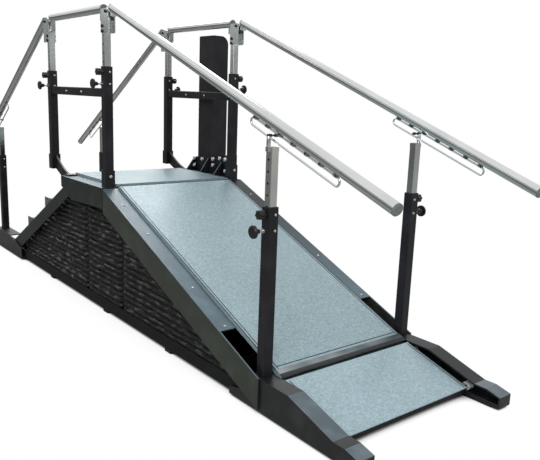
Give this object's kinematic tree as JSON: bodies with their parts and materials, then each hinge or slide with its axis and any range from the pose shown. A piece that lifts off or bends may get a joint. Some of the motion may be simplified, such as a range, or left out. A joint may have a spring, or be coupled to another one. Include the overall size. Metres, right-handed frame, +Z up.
{
  "type": "therapy training stairs",
  "caption": "Therapy training stairs: a landing that lowers between a hinged ramp and a flight of level-keeping treads, with pleated bellows sides and height-adjustable handrails on posts.",
  "frame": {"origin": "Centre of the footprint's bounding box, on the floor.", "axes": "+X from the stairs to the ramp, along the length; +Y across, towards the side with the lift column; +Z up."},
  "size_m": [3.769, 0.915, 1.425],
  "materials": {
    "base_black": "black powder coat",
    "olive_charcoal": "olive charcoal coat, satin",
    "foot_grey": "grey painted steel",
    "deck": "pale blue grey speckled anti-slip coat on sheet",
    "trim": "anodised nosing",
    "rubber_pad": "black rubber",
    "silver": "satin anodised tube",
    "rail": "satin anodised handrail",
    "steel_rod": "bright steel rod",
    "frame_steel": "dark painted steel",
    "bellows": "black coated pleated fabric",
    "knob": "black moulded plastic",
    "roller": "white nylon",
    "head_white": "white painted steel"
  },
  "bodies": {
    "base": {"base_frame": "frame_steel", "ramp_feet": "foot_grey", "stair_feet": "foot_grey", "foot_step": "deck", "floor_pads": "rubber_pad", "guide_mast": "frame_steel", "actuator_rod": "steel_rod", "foot_posts": "base_black", "bellows": "bellows"},
    "platform": {"platform_frame": "frame_steel", "platform_deck": "deck", "platform_side_plates": "olive_charcoal", "landing_posts": "base_black", "post_sockets": "base_black", "landing_crossbars": "base_black", "column_cover": "base_black", "column_bracket": "base_black", "lift_actuator": "silver"},
    "ramp": {"ramp_frame": "frame_steel", "ramp_deck": "deck", "ramp_side_plates": "olive_charcoal", "ramp_nosing": "trim"},
    "flap": {"flap_panel": "deck", "flap_frame": "frame_steel"},
    "knee_rollers": {"knee_rollers": "roller"},
    "flap_rollers": {"flap_rollers": "roller"},
    "stair_rollers": {"stair_rollers": "roller"},
    "stringers": {"stair_stringers": "olive_charcoal"},
    "links": {"stair_links": "frame_steel"},
    "tread_upper": {"tread_upper": "deck"},
    "tread_lower": {"tread_lower": "deck"},
    "carriages": {"stair_carriages": "frame_steel"},
    "head_tubes_near": {"landing_tubes_near": "silver", "landing_rail_near": "rail"},
    "foot_tubes_near": {"foot_tubes_near": "silver"},
    "ramp_rail_near": {"ramp_rail_near": "rail", "ramp_loop_near": "steel_rod"},
    "stair_rail_near": {"stair_rail_near": "rail"},
    "clamp_ramp_foot_near": {"clamp_ramp_foot_near": "knob"},
    "plunger_ramp_foot_near": {"plunger_ramp_foot_near": "knob"},
    "clamp_stair_foot_near": {"clamp_stair_foot_near": "knob"},
    "plunger_stair_foot_near": {"plunger_stair_foot_near": "knob"},
    "clamp_ramp_head_near": {"clamp_ramp_head_near": "knob"},
    "plunger_ramp_head_near": {"plunger_ramp_head_near": "knob"},
    "clamp_stair_head_near": {"clamp_stair_head_near": "knob"},
    "plunger_stair_head_near": {"plunger_stair_head_near": "knob"},
    "head_tubes_far": {"landing_tubes_far": "silver", "landing_rail_far": "rail"},
    "foot_tubes_far": {"foot_tubes_far": "silver"},
    "ramp_rail_far": {"ramp_rail_far": "rail", "ramp_loop_far": "steel_rod"},
    "stair_rail_far": {"stair_rail_far": "rail"},
    "clamp_ramp_foot_far": {"clamp_ramp_foot_far": "knob"},
    "plunger_ramp_foot_far": {"plunger_ramp_foot_far": "knob"},
    "clamp_stair_foot_far": {"clamp_stair_foot_far": "knob"},
    "plunger_stair_foot_far": {"plunger_stair_foot_far": "knob"},
    "clamp_ramp_head_far": {"clamp_ramp_head_far": "knob"},
    "plunger_ramp_head_far": {"plunger_ramp_head_far": "knob"},
    "clamp_stair_head_far": {"clamp_stair_head_far": "knob"},
    "plunger_stair_head_far": {"plunger_stair_head_far": "knob"}
  },
  "joints": [
    {"name": "platform_lift", "type": "slide", "parent": "base", "child": "platform", "axis": [0, 0, 1], "range_m": [-0.48, 0], "deforming": ["bellows"]},
    {"name": "ramp_hinge", "type": "hinge", "parent": "platform", "child": "ramp", "pos_m": [0.15925, -0.0345, 0.608], "axis": [0, 1, 0], "range_deg": [-21.13, 0]},
    {"name": "flap_hinge", "type": "hinge", "parent": "ramp", "child": "flap", "pos_m": [1.4077, -0.0345, 0.113], "axis": [0, 1, 0], "range_deg": [0, 21.13]},
    {"name": "stringer_pivot", "type": "hinge", "parent": "platform", "child": "stringers", "pos_m": [-0.31075, -0.0345, 0.558], "axis": [0, 1, 0], "range_deg": [0, 28.89]},
    {"name": "link_pivot", "type": "hinge", "parent": "platform", "child": "links", "pos_m": [-0.31075, -0.0345, 0.538], "axis": [0, 1, 0], "range_deg": [0, 28.89]},
    {"name": "tread_upper_pivot", "type": "hinge", "parent": "stringers", "child": "tread_upper", "pos_m": [-0.60475, -0.0345, 0.398], "axis": [0, 1, 0], "range_deg": [-28.89, 0]},
    {"name": "tread_lower_pivot", "type": "hinge", "parent": "stringers", "child": "tread_lower", "pos_m": [-0.89875, -0.0345, 0.238], "axis": [0, 1, 0], "range_deg": [-28.89, 0]},
    {"name": "carriage_pivot", "type": "hinge", "parent": "stringers", "child": "carriages", "pos_m": [-1.19275, -0.0345, 0.078], "axis": [0, 1, 0], "range_deg": [-28.89, 0]},
    {"name": "knee_roller_spin", "type": "hinge", "parent": "flap", "child": "knee_rollers", "pos_m": [1.4227, -0.0345, 0.083], "axis": [0, 1, 0], "continuous": true},
    {"name": "flap_roller_spin", "type": "hinge", "parent": "flap", "child": "flap_rollers", "pos_m": [1.68525, -0.0345, 0.034], "axis": [0, 1, 0], "continuous": true},
    {"name": "stair_roller_spin", "type": "hinge", "parent": "carriages", "child": "stair_rollers", "pos_m": [-1.19275, -0.0345, 0.078], "axis": [0, 1, 0], "continuous": true},
    {"name": "head_height_near", "type": "slide", "parent": "platform", "child": "head_tubes_near", "axis": [0, 0, 1], "range_m": [-0.114, 0.114]},
    {"name": "foot_height_near", "type": "slide", "parent": "base", "child": "foot_tubes_near", "axis": [0, 0, 1], "range_m": [-0.114, 0.114]},
    {"name": "ramp_rail_pivot_near", "type": "hinge", "parent": "head_tubes_near", "child": "ramp_rail_near", "pos_m": [0.17325, -0.3845, 1.39], "axis": [0, 1, 0], "range_deg": [-22.12, 0]},
    {"name": "stair_rail_pivot_near", "type": "hinge", "parent": "head_tubes_near", "child": "stair_rail_near", "pos_m": [-0.57175, -0.3845, 1.39], "axis": [0, 1, 0], "range_deg": [0, 26.26]},
    {"name": "clamp_ramp_foot_near_turn", "type": "hinge", "parent": "base", "child": "clamp_ramp_foot_near", "pos_m": [1.35025, -0.3845, 0.682], "axis": [0, -1, 0], "range_deg": [-720, 720]},
    {"name": "plunger_ramp_foot_near_pull", "type": "slide", "parent": "base", "child": "plunger_ramp_foot_near", "axis": [0, -1, 0], "range_m": [0, 0.01], "stiffness_N_per_m": 400},
    {"name": "clamp_stair_foot_near_turn", "type": "hinge", "parent": "base", "child": "clamp_stair_foot_near", "pos_m": [-1.47375, -0.3845, 0.583], "axis": [0, -1, 0], "range_deg": [-720, 720]},
    {"name": "plunger_stair_foot_near_pull", "type": "slide", "parent": "base", "child": "plunger_stair_foot_near", "axis": [0, -1, 0], "range_m": [0, 0.01], "stiffness_N_per_m": 400},
    {"name": "clamp_ramp_head_near_turn", "type": "hinge", "parent": "platform", "child": "clamp_ramp_head_near", "pos_m": [0.13725, -0.3845, 1.132], "axis": [0, -1, 0], "range_deg": [-720, 720]},
    {"name": "plunger_ramp_head_near_pull", "type": "slide", "parent": "platform", "child": "plunger_ramp_head_near", "axis": [0, -1, 0], "range_m": [0, 0.01], "stiffness_N_per_m": 400},
    {"name": "clamp_stair_head_near_turn", "type": "hinge", "parent": "platform", "child": "clamp_stair_head_near", "pos_m": [-0.53575, -0.3845, 1.116], "axis": [0, -1, 0], "range_deg": [-720, 720]},
    {"name": "plunger_stair_head_near_pull", "type": "slide", "parent": "platform", "child": "plunger_stair_head_near", "axis": [0, -1, 0], "range_m": [0, 0.01], "stiffness_N_per_m": 400},
    {"name": "head_height_far", "type": "slide", "parent": "platform", "child": "head_tubes_far", "axis": [0, 0, 1], "range_m": [-0.114, 0.114]},
    {"name": "foot_height_far", "type": "slide", "parent": "base", "child": "foot_tubes_far", "axis": [0, 0, 1], "range_m": [-0.114, 0.114]},
    {"name": "ramp_rail_pivot_far", "type": "hinge", "parent": "head_tubes_far", "child": "ramp_rail_far", "pos_m": [0.17325, 0.3155, 1.39], "axis": [0, 1, 0], "range_deg": [-22.12, 0]},
    {"name": "stair_rail_pivot_far", "type": "hinge", "parent": "head_tubes_far", "child": "stair_rail_far", "pos_m": [-0.57175, 0.3155, 1.39], "axis": [0, 1, 0], "range_deg": [0, 26.26]},
    {"name": "clamp_ramp_foot_far_turn", "type": "hinge", "parent": "base", "child": "clamp_ramp_foot_far", "pos_m": [1.35025, 0.3155, 0.682], "axis": [0, 1, 0], "range_deg": [-720, 720]},
    {"name": "plunger_ramp_foot_far_pull", "type": "slide", "parent": "base", "child": "plunger_ramp_foot_far", "axis": [0, 1, 0], "range_m": [0, 0.01], "stiffness_N_per_m": 400},
    {"name": "clamp_stair_foot_far_turn", "type": "hinge", "parent": "base", "child": "clamp_stair_foot_far", "pos_m": [-1.47375, 0.3155, 0.583], "axis": [0, 1, 0], "range_deg": [-720, 720]},
    {"name": "plunger_stair_foot_far_pull", "type": "slide", "parent": "base", "child": "plunger_stair_foot_far", "axis": [0, 1, 0], "range_m": [0, 0.01], "stiffness_N_per_m": 400},
    {"name": "clamp_ramp_head_far_turn", "type": "hinge", "parent": "platform", "child": "clamp_ramp_head_far", "pos_m": [0.13725, 0.3155, 1.132], "axis": [0, 1, 0], "range_deg": [-720, 720]},
    {"name": "plunger_ramp_head_far_pull", "type": "slide", "parent": "platform", "child": "plunger_ramp_head_far", "axis": [0, 1, 0], "range_m": [0, 0.01], "stiffness_N_per_m": 400},
    {"name": "clamp_stair_head_far_turn", "type": "hinge", "parent": "platform", "child": "clamp_stair_head_far", "pos_m": [-0.53575, 0.3155, 1.116], "axis": [0, 1, 0], "range_deg": [-720, 720]},
    {"name": "plunger_stair_head_far_pull", "type": "slide", "parent": "platform", "child": "plunger_stair_head_far", "axis": [0, 1, 0], "range_m": [0, 0.01], "stiffness_N_per_m": 400}
  ],
  "couplings": [
    {"joint": "ramp_hinge", "follows": "platform_lift", "rad_per_m": 0.76811},
    {"joint": "flap_hinge", "follows": "platform_lift", "rad_per_m": -0.76811},
    {"joint": "stringer_pivot", "follows": "platform_lift", "rad_per_m": -1.0502},
    {"joint": "link_pivot", "follows": "platform_lift", "rad_per_m": -1.0502},
    {"joint": "tread_upper_pivot", "follows": "platform_lift", "rad_per_m": 1.0502},
    {"joint": "tread_lower_pivot", "follows": "platform_lift", "rad_per_m": 1.0502},
    {"joint": "carriage_pivot", "follows": "platform_lift", "rad_per_m": 1.0502},
    {"joint": "foot_height_near", "follows": "head_height_near", "ratio": 1},
    {"joint": "ramp_rail_pivot_near", "follows": "platform_lift", "rad_per_m": 0.804},
    {"joint": "stair_rail_pivot_near", "follows": "platform_lift", "rad_per_m": -0.9545},
    {"joint": "foot_height_far", "follows": "head_height_far", "ratio": 1},
    {"joint": "ramp_rail_pivot_far", "follows": "platform_lift", "rad_per_m": 0.804},
    {"joint": "stair_rail_pivot_far", "follows": "platform_lift", "rad_per_m": -0.9545}
  ]
}
